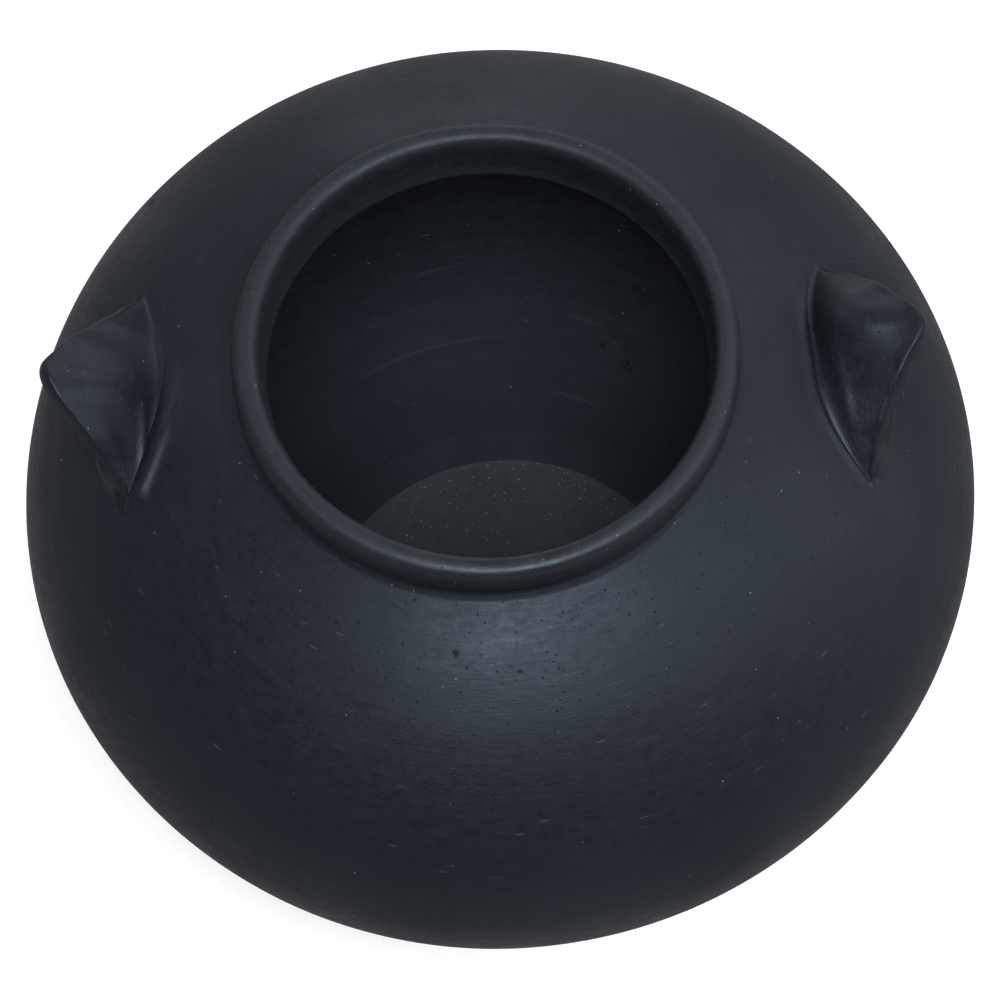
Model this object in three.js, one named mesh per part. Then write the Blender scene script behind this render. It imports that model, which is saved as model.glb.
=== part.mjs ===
// A round-bellied black clay pot: a short rolled neck and two pinched, pointed lugs on the shoulder.
// It is one fired body, luted together from separate pieces of clay, and each piece is a mesh here.
// Millimetres, +Z up. The origin is the centre of the flat foot, and the lugs point along X.
import * as THREE from 'three';

// Belly and wall
const BELLY_RADIUS = 160; // outside, at the widest point
const BELLY_HEIGHT = 125.6; // of the widest point above the foot
const SHOULDER_RISE = 106.4; // upright semi-axis of the elliptical shoulder
const BELLY_CURVE = 56; // radius of the profile just below the widest point
const FOOT_RADIUS = 72;
const FOOT_ROUNDING = 3; // of the edge round the foot
const FOOT_LEAN = THREE.MathUtils.degToRad(50); // of the wall where it leaves the foot, from upright
const FOOT_REACH = 35; // how far the wall keeps that lean
const WALL = 8;
const FLOOR_THICKNESS = 8;
const FLOOR_RADIUS = 66.4; // of the flat floor inside

// Neck and lip
const NECK_ROOT_RADIUS = 88; // where the collar starts on the shoulder
const THROAT_RADIUS = 71.4;
const THROAT_HEIGHT = 219.8;
const LIP_RADIUS = 77.4; // of the middle of the rolled lip
const LIP_HEIGHT = 230.7; // of the same
const LIP_HALF_THICKNESS = 4.5;
const LIP_HALF_HEIGHT = 8.3;
const LIP_SEAT_WIDTH = 8.2; // of the flat face under the lip
const LIP_ROLL_START = -Math.PI / 3; // angle round the roll at which it leaves that face
const GROOVE_WIDTH = 2; // of the groove round the outside of the lip's seat

// Heights, on the outside, of the joints between the coils of the wall
const LOW_BELLY_JOINT = 80;
const MIDDLE_BELLY_JOINT = 108;
const HIGH_BELLY_JOINT = 137;
const SHOULDER_JOINT = 165;

// Lugs. Each is a thin wing that leans out and up from the shoulder, cupped towards the neck. Places
// along a lug run from -1 at its front end to 1 at its back end.
const LUG_CREASE_RADIUS = 106; // where the upper face meets the shoulder, at mid-lug
const LUG_HEEL_RADIUS = 128; // where the underside meets the shoulder, at mid-lug
const LUG_EDGE = 5; // thickness of the pinched edge
const LUG_HOLLOW_LIFT = 2; // of the hollow upper face, where it is lowest, off the shoulder
const LUG_TIP_ROUNDING = 0.07; // share of the half span over which the tip is rounded
const LUG_LEAST_REACH = 0.12; // share of the length that is left at the two ends
const LUG_END = 0.98; // share of the half span that the solid covers
const LUGS = [
  {
    side: 'left',
    facing: -1,
    turn: 177.4, // degrees round the pot
    halfSpan: 18.5, // degrees each way
    length: 43, // from the sole to the tip
    lean: 42, // degrees above level, at the tip
    cup: 14, // degrees more upright at the two ends
    tip: -0.04, // place of the tip along the lug
    frontFall: 1.2, // how the edge falls away from the tip, to the front and to the back
    backFall: 1.08,
    creaseBow: 14, // how much further out the crease lies at the two ends
    heelBow: 1,
  },
  {
    side: 'right',
    facing: 1,
    turn: 1.4,
    halfSpan: 18.5,
    length: 37.5,
    lean: 46,
    cup: 12,
    tip: 0,
    frontFall: 1,
    backFall: 1,
    creaseBow: 16,
    heelBow: 4,
  },
];

// Luting coils, smeared into the crease on the neck side of each lug
const COIL_WIDTH = 7;
const COIL_HEIGHT = 3;
const COIL_TAPER = 0.9; // how much of its section it loses towards the two ends
const COIL_FLANK = 0.6; // height of the side against the lug, as a share of the coil's

const JOINT_GAP = 0.3;
const SEGMENTS = 60; // round the pot
const RING_STEPS = 5; // along the profile of one ring
const SHARE_TOLERANCE = 1e-6;
const ROLL_STEPS = 14; // round the lip
const EDGE_STEPS = 4; // over a rounded edge, and up a lug's underside
const FACE_STEPS = 6; // up a lug's hollow face
const LUG_STEPS = 28; // along a lug

// Outside of the wall, from the foot up to the root of the neck, as a curve in radius and height.
function wallCurve() {
  const heel = new THREE.Vector2(FOOT_RADIUS, 0);
  const lean = new THREE.Vector2(Math.sin(FOOT_LEAN), Math.cos(FOOT_LEAN)).multiplyScalar(FOOT_REACH);
  const lowHandle = heel.clone().add(lean);
  const drop = Math.sqrt((2 / 3) * BELLY_CURVE * (BELLY_RADIUS - lowHandle.x));
  const belly = new THREE.Vector2(BELLY_RADIUS, BELLY_HEIGHT);
  const highHandle = new THREE.Vector2(BELLY_RADIUS, BELLY_HEIGHT - drop);
  const neckAngle = Math.acos(NECK_ROOT_RADIUS / BELLY_RADIUS);
  const curve = new THREE.CurvePath();
  curve.add(new THREE.CubicBezierCurve(heel, lowHandle, highHandle, belly));
  curve.add(new THREE.EllipseCurve(0, BELLY_HEIGHT, BELLY_RADIUS, SHOULDER_RISE, 0, neckAngle));
  return curve;
}

const wall = wallCurve();
const wallLength = wall.getLength();

// Share of the wall curve's length at which it reaches a height, by halving.
function shareAt(height) {
  let low = 0;
  let high = 1;
  while (high - low > SHARE_TOLERANCE) {
    const middle = (low + high) / 2;
    if (wall.getPointAt(middle).y < height) {
      low = middle;
    } else {
      high = middle;
    }
  }
  return low;
}

// Point on the wall at a share of its length, at a depth under its outside.
function wallPoint(share, depth) {
  const tangent = wall.getTangentAt(share);
  const inward = new THREE.Vector2(-tangent.y, tangent.x);
  return wall.getPointAt(share).addScaledVector(inward, depth);
}

// Points along the wall between two shares, both included.
function wallRun(from, to, depth) {
  const points = [];
  for (let i = 0; i <= RING_STEPS; i++) {
    points.push(wallPoint(THREE.MathUtils.lerp(from, to, i / RING_STEPS), depth));
  }
  return points;
}

// Height of the shoulder's outside at a radius.
function shoulderHeight(radius) {
  return BELLY_HEIGHT + SHOULDER_RISE * Math.sqrt(1 - (radius / BELLY_RADIUS) ** 2);
}

// Point above the shoulder, a lift away from it along its normal.
function onShoulder(radius, lift) {
  const height = shoulderHeight(radius);
  const normal = new THREE.Vector2(
    radius / BELLY_RADIUS ** 2,
    (height - BELLY_HEIGHT) / SHOULDER_RISE ** 2,
  ).normalize();
  return new THREE.Vector2(radius, height).addScaledVector(normal, lift);
}

// Solid of revolution about the pot's axis. A lathe turns about Y, so it is stood up onto Z.
function turned(profile) {
  const geometry = new THREE.LatheGeometry(profile, SEGMENTS);
  geometry.rotateX(Math.PI / 2);
  return geometry;
}

// Ring with a closed profile.
function ring(profile) {
  return turned([...profile, profile[0].clone()]);
}

function basePad() {
  const foot = new THREE.QuadraticBezierCurve(
    new THREE.Vector2(FOOT_RADIUS - FOOT_ROUNDING, 0),
    new THREE.Vector2(FOOT_RADIUS, 0),
    wallPoint(shareAt(FOOT_ROUNDING), 0),
  );
  return turned([
    new THREE.Vector2(0, 0),
    ...foot.getPoints(EDGE_STEPS),
    wallPoint(shareAt(FLOOR_THICKNESS), 0),
    new THREE.Vector2(0, FLOOR_THICKNESS),
  ]);
}

// Lowest ring. It stands on the pad, and its inside flares down to the floor.
function lowerWall() {
  const seat = FLOOR_THICKNESS + JOINT_GAP;
  const from = shareAt(seat);
  const to = shareAt(LOW_BELLY_JOINT);
  return ring([
    new THREE.Vector2(FLOOR_RADIUS, seat),
    ...wallRun(from, to, 0),
    ...wallRun(from, to, WALL).reverse(),
  ]);
}

// Ring of the wall between two joints, given as shares of its length.
function wallRing(from, to) {
  const start = from + JOINT_GAP / wallLength;
  return ring([...wallRun(start, to, 0), ...wallRun(start, to, WALL).reverse()]);
}

// Short ring that turns the shoulder in to the throat. The lip sits on its flat top.
function neckCollar() {
  const outside = onShoulder(NECK_ROOT_RADIUS - JOINT_GAP, 0);
  const inside = onShoulder(NECK_ROOT_RADIUS - JOINT_GAP, -WALL);
  const throat = new THREE.Vector2(THROAT_RADIUS, THROAT_HEIGHT);
  const under = new THREE.QuadraticBezierCurve(
    throat,
    new THREE.Vector2(THROAT_RADIUS, inside.y + WALL / 2),
    inside,
  );
  return ring([
    outside,
    onShoulder(THROAT_RADIUS + LIP_SEAT_WIDTH + GROOVE_WIDTH, 0),
    new THREE.Vector2(THROAT_RADIUS + LIP_SEAT_WIDTH, THROAT_HEIGHT),
    ...under.getPoints(EDGE_STEPS),
  ]);
}

// Rolled lip: an upright oval with a flat seat, its inner side running straight on from the throat.
function lipCoil() {
  const seat = THROAT_HEIGHT + JOINT_GAP;
  const roll = new THREE.EllipseCurve(
    LIP_RADIUS,
    LIP_HEIGHT,
    LIP_HALF_THICKNESS,
    LIP_HALF_HEIGHT,
    LIP_ROLL_START,
    Math.PI,
  );
  return ring([
    new THREE.Vector2(THROAT_RADIUS, seat),
    new THREE.Vector2(THROAT_RADIUS + LIP_SEAT_WIDTH, seat),
    ...roll.getPoints(ROLL_STEPS),
  ]);
}

// Closed body through a list of outlines, each an equally long list of points, with flat ends.
function loft(outlines, flatOutlines) {
  const count = outlines[0].length;
  const last = (outlines.length - 1) * count;
  const indices = [];
  for (let i = 0; i + 1 < outlines.length; i++) {
    for (let j = 0; j < count; j++) {
      const a = i * count + j;
      const b = i * count + ((j + 1) % count);
      indices.push(a, a + count, b, b, a + count, b + count);
    }
  }
  for (const [a, b, c] of THREE.ShapeUtils.triangulateShape(flatOutlines[0], [])) {
    indices.push(a, b, c);
  }
  for (const [a, b, c] of THREE.ShapeUtils.triangulateShape(flatOutlines.at(-1), [])) {
    indices.push(last + a, last + c, last + b);
  }
  const geometry = new THREE.BufferGeometry().setFromPoints(outlines.flat());
  geometry.setIndex(indices);
  geometry.computeVertexNormals();
  return geometry;
}

// Body that follows the shoulder under a lug. outlineAt gives its outline in radius and height,
// counter-clockwise, at a place along the lug.
function shoulderLoft(lug, outlineAt) {
  const flat = [];
  const outlines = [];
  for (let i = 0; i <= LUG_STEPS; i++) {
    const along = LUG_END * ((2 * i) / LUG_STEPS - 1);
    const angle = THREE.MathUtils.degToRad(along * lug.halfSpan);
    const outline = outlineAt(lug, lug.facing * along);
    flat.push(outline);
    outlines.push(
      outline.map((p) => new THREE.Vector3(p.x * Math.cos(angle), p.x * Math.sin(angle), p.y)),
    );
  }
  return loft(outlines, flat);
}

// Share of the lug's length that its edge reaches: 1 at the rounded tip, falling to 0 at the ends.
function lugReach(lug, place) {
  const soft = (x) => Math.hypot(x, LUG_TIP_ROUNDING) - LUG_TIP_ROUNDING;
  const away = Math.min(soft(place - lug.tip) / soft(1 - Math.abs(lug.tip)), 1);
  const reach = place > lug.tip ? 1 - away ** lug.backFall : (1 - away) ** lug.frontFall;
  return Math.max(reach, LUG_LEAST_REACH);
}

// Radius of the crease between a lug's upper face and the shoulder.
function creaseRadius(lug, place) {
  return LUG_CREASE_RADIUS + lug.creaseBow * place ** 2;
}

// Outline of a lug: up its underside, over the pinched edge, and down its hollow upper face.
function lugOutline(lug, place) {
  const crease = onShoulder(creaseRadius(lug, place), JOINT_GAP);
  const heel = onShoulder(LUG_HEEL_RADIUS + lug.heelBow * place ** 2, JOINT_GAP);
  const sole = onShoulder((crease.x + heel.x) / 2, JOINT_GAP);
  const lean = THREE.MathUtils.degToRad(lug.lean + lug.cup * Math.abs(place));
  const out = new THREE.Vector2(Math.cos(lean), Math.sin(lean));
  const up = new THREE.Vector2(-out.y, out.x).multiplyScalar(LUG_EDGE / 2);
  const apex = sole.clone().addScaledVector(out, lugReach(lug, place) * lug.length);
  const shelf = apex.clone().addScaledVector(out, -LUG_EDGE / 2);
  const under = new THREE.QuadraticBezierCurve(
    heel,
    heel.clone().lerp(apex, 0.5).add(up),
    shelf.clone().sub(up),
  );
  const hollow = new THREE.QuadraticBezierCurve(
    shelf.clone().add(up),
    onShoulder(sole.x, LUG_HOLLOW_LIFT),
    crease,
  );
  return [...under.getPoints(EDGE_STEPS), apex, ...hollow.getPoints(FACE_STEPS), sole];
}

// Outline of a luting coil: a low strip lying on the shoulder, just inside the crease.
function coilOutline(lug, place) {
  const outer = creaseRadius(lug, place) - 2 * JOINT_GAP;
  const taper = Math.sqrt(1 - COIL_TAPER * place ** 2);
  const inner = outer - COIL_WIDTH * taper;
  return [
    onShoulder(inner, JOINT_GAP),
    onShoulder(outer, JOINT_GAP),
    onShoulder(outer, JOINT_GAP + COIL_FLANK * COIL_HEIGHT * taper),
    onShoulder((inner + outer) / 2, JOINT_GAP + COIL_HEIGHT * taper),
  ];
}

// Smoke-fired clay: blue-black, burnished to a low sheen where the tool reached.
function blackClay(color, roughness) {
  return new THREE.MeshStandardMaterial({ color, roughness, metalness: 0 });
}

function piece(name, geometry, material) {
  const mesh = new THREE.Mesh(geometry, material);
  mesh.name = name;
  return mesh;
}

const lowBelly = shareAt(LOW_BELLY_JOINT);
const middleBelly = shareAt(MIDDLE_BELLY_JOINT);
const highBelly = shareAt(HIGH_BELLY_JOINT);
const shoulder = shareAt(SHOULDER_JOINT);

const pot = new THREE.Group();
pot.add(
  piece('base_pad', basePad(), blackClay(0x24262b, 0.75)),
  piece('lower_wall', lowerWall(), blackClay(0x1d2026, 0.55)),
  piece('belly_coil_low', wallRing(lowBelly, middleBelly), blackClay(0x1d2026, 0.53)),
  piece('belly_coil_middle', wallRing(middleBelly, highBelly), blackClay(0x1d2026, 0.5)),
  piece('belly_coil_high', wallRing(highBelly, shoulder), blackClay(0x1e2228, 0.5)),
  piece('shoulder_coil', wallRing(shoulder, 1), blackClay(0x20242b, 0.48)),
  piece('neck_collar', neckCollar(), blackClay(0x1c1f24, 0.55)),
  piece('lip_coil', lipCoil(), blackClay(0x23272d, 0.5)),
);

for (const lug of LUGS) {
  const mounted = new THREE.Group();
  mounted.rotation.z = THREE.MathUtils.degToRad(lug.turn);
  mounted.add(
    piece(`lug_${lug.side}`, shoulderLoft(lug, lugOutline), blackClay(0x22262d, 0.5)),
    piece(`luting_coil_${lug.side}`, shoulderLoft(lug, coilOutline), blackClay(0x20242b, 0.52)),
  );
  pot.add(mounted);
}

export default pot;
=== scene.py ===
import math
from dataclasses import dataclass

import bpy
import numpy as np
from mathutils import Matrix, Vector


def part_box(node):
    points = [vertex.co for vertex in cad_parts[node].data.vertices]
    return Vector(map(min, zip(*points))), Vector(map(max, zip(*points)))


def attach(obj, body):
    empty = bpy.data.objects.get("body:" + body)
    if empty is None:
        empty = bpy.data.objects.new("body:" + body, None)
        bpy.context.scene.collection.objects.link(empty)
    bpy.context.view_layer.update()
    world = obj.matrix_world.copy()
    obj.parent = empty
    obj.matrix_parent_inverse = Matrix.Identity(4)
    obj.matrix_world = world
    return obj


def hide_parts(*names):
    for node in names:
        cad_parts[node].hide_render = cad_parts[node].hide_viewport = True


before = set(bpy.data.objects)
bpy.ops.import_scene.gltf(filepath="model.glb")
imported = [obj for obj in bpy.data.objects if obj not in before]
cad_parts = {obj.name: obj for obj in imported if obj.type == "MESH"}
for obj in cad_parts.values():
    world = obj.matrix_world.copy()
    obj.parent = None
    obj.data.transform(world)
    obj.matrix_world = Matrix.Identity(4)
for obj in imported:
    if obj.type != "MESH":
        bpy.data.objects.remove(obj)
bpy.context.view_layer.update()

# Lengths are in metres, as the frame's are. The pot's own are written as millimetres times MM.
MM = 0.001

# The pot's driving dimensions, those of the CAD design, whose nodes give the heights of the joints.
BELLY_RADIUS = 160 * MM
BELLY_HEIGHT = 125.6 * MM
SHOULDER_RISE = 106.4 * MM
BELLY_CURVE = 56 * MM
FOOT_RADIUS = 72 * MM
FOOT_ROUNDING = 3 * MM
FOOT_LEAN = math.radians(50)
FOOT_REACH = 35 * MM
FOOT_HOLLOW = 0.6 * MM
WALL = 8 * MM
FLOOR_RADIUS = 66.4 * MM
NECK_ROOT_RADIUS = 88 * MM
GROOVE_RADIUS = 79.6 * MM
THROAT_RADIUS = 71.4 * MM
THROAT_HEIGHT = 219.8 * MM
LIP_RADIUS = 77.4 * MM
LIP_HEIGHT = 230.7 * MM
LIP_HALF_THICKNESS = 4.5 * MM
LIP_HALF_HEIGHT = 8.3 * MM

# Where its curves bend
LIP_CROWN_STEEP = 0.83  # how far up the lip's sides stay steep, as a share of its half height
LIP_CROWN_LEVEL = 0.68  # how far out its crown stays level, as a share of its half thickness
SHOULDER_END = 1.3 * MM  # how far outside the groove the shoulder's oval ends
GROOVE_TUCK = 0.6 * MM  # how far the groove is tucked in and down under the lip
LIP_TUCK = 0.9 * MM
COLLAR_BEND_HEIGHT = 218.1 * MM
LIP_BEND_HEIGHT = 221.5 * MM
THROAT_BEND = (72.6 * MM, 224 * MM)
CORNER_BEND = (68.4 * MM, 0.8 * MM)  # of the corner between floor and wall, above the floor

# What the potter's hand adds to the true shape
NECK_SHIFT = 1.55 * MM  # how far the neck stands off the belly's axis, towards -X
LIP_LEAN = 0.04  # slope at which the lip's crown leans outwards in front and inwards at the back
LUTING_LINE_RADIUS = 84.6 * MM  # of the line left where the collar was luted on
LUTING_LINE_DEPTH = 0.16 * MM
LUTING_LINE_WIDTH = 0.7 * MM
LUTING_LINE_WANDER = 2.4 * MM  # how far the line wanders in and out, three times round the pot
LUTING_LINE_TURN = math.radians(89)
BEAD_RADIUS = 82.2 * MM  # of the low bead of clay pressed out beside it
BEAD_WIDTH = 1.3 * MM
BEAD_LIFT = 0.10 * MM

# Layers of unevenness, as (lift, length along the profile, number of waves round the pot)
BODY_WAVES = ((0.30 * MM, 62 * MM, 5), (0.10 * MM, 24 * MM, 22))
RING_WAVES = ((0.05 * MM, 6.5 * MM, 4), (0.025 * MM, 3.2 * MM, 7))
SCRAPE_WAVES = ((0.08 * MM, 9 * MM, 5), (0.05 * MM, 5 * MM, 9))
LIP_WAVES = ((0.22 * MM, 9 * MM, 13),)
LINE_WAVES = ((0.4, 200 * MM, 9),)  # as shares of the luting line's depth
BEAD_WAVES = ((0.5, 200 * MM, 24),)  # and of the bead's lift

FLOOR_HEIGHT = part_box("base_pad")[1].z
WALL_NODES = ("lower_wall", "belly_coil_low", "belly_coil_middle", "belly_coil_high")
WALL_JOINTS = [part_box(node)[1].z for node in WALL_NODES]
WALL_STRETCHES = ("lower", "belly_low", "belly_middle", "belly_high", "shoulder")

# Fineness of the clay's surface
COLUMNS = 640  # round the pot
OUTSIDE_ROW = 1.5 * MM
INSIDE_ROW = 1.5 * MM
LIP_ROW = 0.7 * MM
SEED = 7


# ---------------------------------------------------------------- the pot's profile


def bezier(*handles, steps=160):
    """Points of a quadratic or cubic curve in radius and height."""
    t = np.linspace(0, 1, steps + 1)[:, None]
    degree = len(handles) - 1
    return sum(
        math.comb(degree, k) * t**k * (1 - t) ** (degree - k) * np.array(handle)
        for k, handle in enumerate(handles)
    )


def oval(radius, height, across, up, start, end, steps=200):
    """Points of an oval's arc, from one angle to another."""
    angle = np.linspace(start, end, steps + 1)
    return np.column_stack([radius + across * np.cos(angle), height + up * np.sin(angle)])


def distance_along(points):
    steps = np.linalg.norm(np.diff(points, axis=0), axis=1)
    return np.concatenate([[0], np.cumsum(steps)])


def resampled(points, spacing):
    """The same line with evenly spaced points."""
    along = distance_along(points)
    count = max(2, round(along[-1] / spacing))
    places = np.linspace(0, along[-1], count + 1)
    return np.column_stack([np.interp(places, along, points[:, k]) for k in (0, 1)])


def right_normals(points):
    """Unit normals on the right-hand side of a line."""
    ahead = np.gradient(points, axis=0)
    ahead /= np.linalg.norm(ahead, axis=1)[:, None]
    return np.column_stack([ahead[:, 1], -ahead[:, 0]])


def outside_line():
    """The outside of the wall, from the foot's edge up to the groove under the lip."""
    low = (FOOT_RADIUS + FOOT_REACH * math.sin(FOOT_LEAN), FOOT_REACH * math.cos(FOOT_LEAN))
    drop = math.sqrt(2 / 3 * BELLY_CURVE * (BELLY_RADIUS - low[0]))  # for that radius of curve
    high = (BELLY_RADIUS, BELLY_HEIGHT - drop)
    lower = bezier((FOOT_RADIUS, 0), low, high, (BELLY_RADIUS, BELLY_HEIGHT))
    end = math.acos((GROOVE_RADIUS + SHOULDER_END) / BELLY_RADIUS)
    upper = oval(0, BELLY_HEIGHT, BELLY_RADIUS, SHOULDER_RISE, 0, end)
    return np.vstack([lower, upper[1:]])


def cut(points, values, low, high):
    """The part of a line where an ever-rising value runs from low to high, ends put in exactly."""
    inner = points[(values > low) & (values < high)]
    ends = [
        np.array([np.interp(value, values, points[:, k]) for k in (0, 1)]) for value in (low, high)
    ]
    return np.vstack([ends[0], inner, ends[1]])


def lip_quarter(side):
    """A quarter of the lip's section from its flank to its crown, outside for 1, inside for -1."""
    flank = (LIP_RADIUS + side * LIP_HALF_THICKNESS, LIP_HEIGHT)
    steep = (flank[0], flank[1] + LIP_CROWN_STEEP * LIP_HALF_HEIGHT)
    crown = (LIP_RADIUS, LIP_HEIGHT + LIP_HALF_HEIGHT)
    level = (crown[0] + side * LIP_CROWN_LEVEL * LIP_HALF_THICKNESS, crown[1])
    return bezier(flank, steep, level, crown)


def lip_roll():
    """The lip's rounded section, over a broad crown, from its underside to its inner side."""
    under = oval(LIP_RADIUS, LIP_HEIGHT, LIP_HALF_THICKNESS, LIP_HALF_HEIGHT, -math.pi / 3, 0)
    return np.vstack([under[:-1], lip_quarter(1)[:-1], lip_quarter(-1)[::-1]])


def foot_line(outside, height):
    """The foot from its middle, a little hollowed, round its edge to the top of the pad."""
    middle = [(0, FOOT_HOLLOW), (0.7 * FOOT_RADIUS, 0.7 * FOOT_HOLLOW)]
    edge_end = cut(outside, height, FOOT_ROUNDING, 1)[0]
    edge = bezier((FOOT_RADIUS - FOOT_ROUNDING, 0), (FOOT_RADIUS, 0), edge_end)
    return np.vstack([middle, edge, cut(outside, height, FOOT_ROUNDING, FLOOR_HEIGHT)[1:]])


def profile():
    """The whole section of the pot from the axis under the foot, up the outside, over the lip and
    down the inside to the axis, as stretches between the joints of its pieces."""
    outside = outside_line()
    inside = outside - WALL * right_normals(outside)
    height = outside[:, 1]
    neck_root = BELLY_HEIGHT + SHOULDER_RISE * math.sqrt(1 - (NECK_ROOT_RADIUS / BELLY_RADIUS) ** 2)
    joints = [FLOOR_HEIGHT, *WALL_JOINTS, neck_root, height[-1]]
    walls = [cut(outside, height, a, b) for a, b in zip(joints, joints[1:])]
    linings = [cut(inside, height, a, b)[::-1] for a, b in zip(joints[:-2], joints[1:-1])]
    roll = lip_roll()
    groove = (GROOVE_RADIUS - GROOVE_TUCK, THROAT_HEIGHT - GROOVE_TUCK)
    throat = (THROAT_RADIUS, THROAT_HEIGHT)
    collar_bend = (GROOVE_RADIUS + GROOVE_TUCK, COLLAR_BEND_HEIGHT)
    collar = [walls[-1][:-1], bezier(walls[-1][-1], collar_bend, groove)]
    under_lip = bezier(groove, (GROOVE_RADIUS - LIP_TUCK, LIP_BEND_HEIGHT), tuple(roll[0]))
    lip = [under_lip, roll[1:], bezier(tuple(roll[-1]), THROAT_BEND, throat)[1:]]
    neck_end = linings[-1][0]
    under_neck = bezier(throat, (THROAT_RADIUS, neck_end[1] + WALL / 2), neck_end)
    corner_bend = (CORNER_BEND[0], FLOOR_HEIGHT + CORNER_BEND[1])
    corner = bezier(linings[0][-1], corner_bend, (FLOOR_RADIUS, FLOOR_HEIGHT))
    linings[0] = np.vstack([linings[0], corner[1:]])
    floor = np.array([(FLOOR_RADIUS, FLOOR_HEIGHT), (0, FLOOR_HEIGHT)])

    stretches = {"foot": resampled(foot_line(outside, height), OUTSIDE_ROW)}
    for name, line in zip(WALL_STRETCHES, walls):
        stretches[f"{name}_out"] = resampled(line, OUTSIDE_ROW)
    stretches["collar_out"] = resampled(np.vstack(collar), LIP_ROW)
    stretches["lip"] = resampled(np.vstack(lip), LIP_ROW)
    stretches["collar_in"] = resampled(under_neck, LIP_ROW)
    for name, line in reversed(list(zip(WALL_STRETCHES, linings))):
        stretches[f"{name}_in"] = resampled(line, INSIDE_ROW)
    stretches["floor"] = resampled(floor, INSIDE_ROW)
    return stretches


# ---------------------------------------------------------------- the hand-made surface


def lattice_noise(seed, along, angle, cell, around):
    """Smooth noise from -1 to 1 over a distance along the profile and an angle round the pot.
    cell is its size along the profile, and around how many cells go round."""
    random = np.random.default_rng(SEED * 1000 + seed)
    along_cell = along / cell
    rows = int(np.ceil(along_cell.max())) + 2
    lattice = random.uniform(-1, 1, (rows, around))
    around_cell = angle / (2 * math.pi) * around
    row = np.floor(along_cell).astype(int)
    column = np.floor(around_cell).astype(int)
    blend_row = along_cell - row
    blend_column = around_cell - column
    blend_row = blend_row**3 * (blend_row * (6 * blend_row - 15) + 10)
    blend_column = blend_column**3 * (blend_column * (6 * blend_column - 15) + 10)
    left = column % around
    right = (column + 1) % around
    low = lattice[row, left] * (1 - blend_column) + lattice[row, right] * blend_column
    high = lattice[row + 1, left] * (1 - blend_column) + lattice[row + 1, right] * blend_column
    return low * (1 - blend_row) + high * blend_row


def smooth_step(value, low, high):
    share = np.clip((value - low) / (high - low), 0, 1)
    return share * share * (3 - 2 * share)


def neck_shift(height):
    """How far the wall stands off the belly's axis at a height."""
    return NECK_SHIFT * smooth_step(height, BELLY_HEIGHT, THROAT_HEIGHT)


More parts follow.
